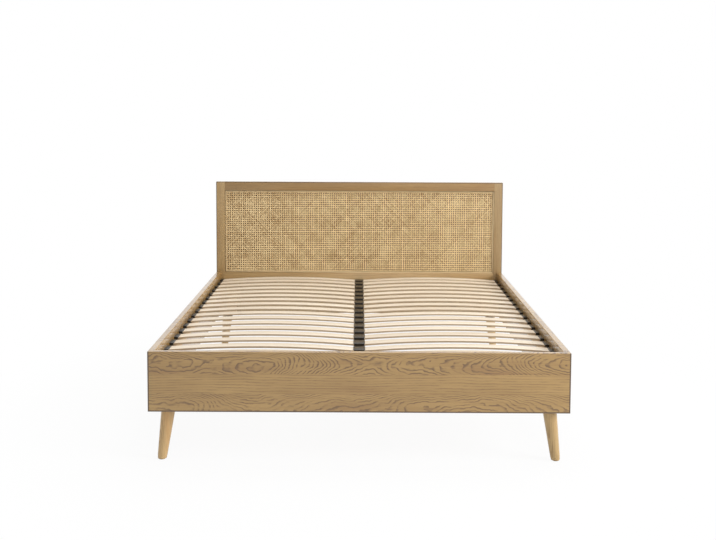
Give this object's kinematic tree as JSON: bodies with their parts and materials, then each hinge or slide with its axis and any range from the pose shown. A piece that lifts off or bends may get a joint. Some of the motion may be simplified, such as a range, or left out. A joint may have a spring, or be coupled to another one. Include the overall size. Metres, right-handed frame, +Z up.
{
  "type": "bed frame",
  "caption": "Double bed frame: oak footboard and rails, framed cane headboard, sprung slats in end holders on a centre beam, splayed tapered legs.",
  "frame": {"origin": "on the floor, in the middle of the bed's outline", "axes": "+X to the right seen from the foot end, +Y from the footboard to the headboard, +Z up"},
  "size_m": [1.68, 2.075, 0.98],
  "materials": {
    "oak_veneer": "satin lacquered oak veneer, figured grain",
    "oak_frame": "satin lacquered oak, straight grain",
    "oak_leg": "satin lacquered light oak, turned",
    "backing_board": "plain brown board",
    "cane": "natural woven rattan cane",
    "cane_bead": "satin light wood bead",
    "birch_slat": "smooth laminated birch",
    "pine": "planed pine",
    "black_plastic": "matt moulded plastic",
    "foot_plastic": "matt moulded plastic",
    "black_steel": "black powder coat",
    "zinc_steel": "zinc plated",
    "glide_felt": "pressed felt"
  },
  "bodies": {
    "bed_frame": {"footboard": "oak_veneer", "side_rail_left": "oak_veneer", "side_rail_right": "oak_veneer", "headboard_stile_left": "oak_frame", "headboard_stile_right": "oak_frame", "headboard_top_rail": "oak_frame", "headboard_bottom_rail": "oak_frame", "headboard_back_panel": "backing_board", "cane_webbing": "cane", "cane_bead": "cane_bead", "slat_batten_left": "pine", "slat_batten_right": "pine", "slat_holders_left": "black_plastic", "slat_holders_right": "black_plastic", "slat_holders_centre": "black_plastic", "centre_beam": "pine", "beam_brackets": "black_steel", "centre_leg": "black_steel", "corner_blocks": "pine", "leg_plates": "black_steel", "leg_bolts": "zinc_steel", "frame_bolts": "zinc_steel", "floor_glides": "glide_felt", "leg_front_left": "oak_leg", "leg_front_right": "oak_leg", "leg_back_left": "oak_leg", "leg_back_right": "oak_leg", "slat_left_01": "birch_slat", "slat_left_02": "birch_slat", "slat_left_03": "birch_slat", "slat_left_04": "birch_slat", "slat_left_05": "birch_slat", "slat_left_06": "birch_slat", "slat_left_07": "birch_slat", "slat_left_08": "birch_slat", "slat_left_09": "birch_slat", "slat_left_10": "birch_slat", "slat_left_11": "birch_slat", "slat_left_12": "birch_slat", "slat_left_13": "birch_slat", "slat_left_14": "birch_slat", "slat_left_15": "birch_slat", "slat_left_16": "birch_slat", "slat_right_01": "birch_slat", "slat_right_02": "birch_slat", "slat_right_03": "birch_slat", "slat_right_04": "birch_slat", "slat_right_05": "birch_slat", "slat_right_06": "birch_slat", "slat_right_07": "birch_slat", "slat_right_08": "birch_slat", "slat_right_09": "birch_slat", "slat_right_10": "birch_slat", "slat_right_11": "birch_slat", "slat_right_12": "birch_slat", "slat_right_13": "birch_slat", "slat_right_14": "birch_slat", "slat_right_15": "birch_slat", "slat_right_16": "birch_slat"},
    "foot": {"levelling_foot": "foot_plastic"}
  },
  "joints": [
    {"name": "levelling_foot_slide", "type": "slide", "parent": "bed_frame", "child": "foot", "axis": [0, 0, 1], "range_m": [-0.015, 0]}
  ]
}
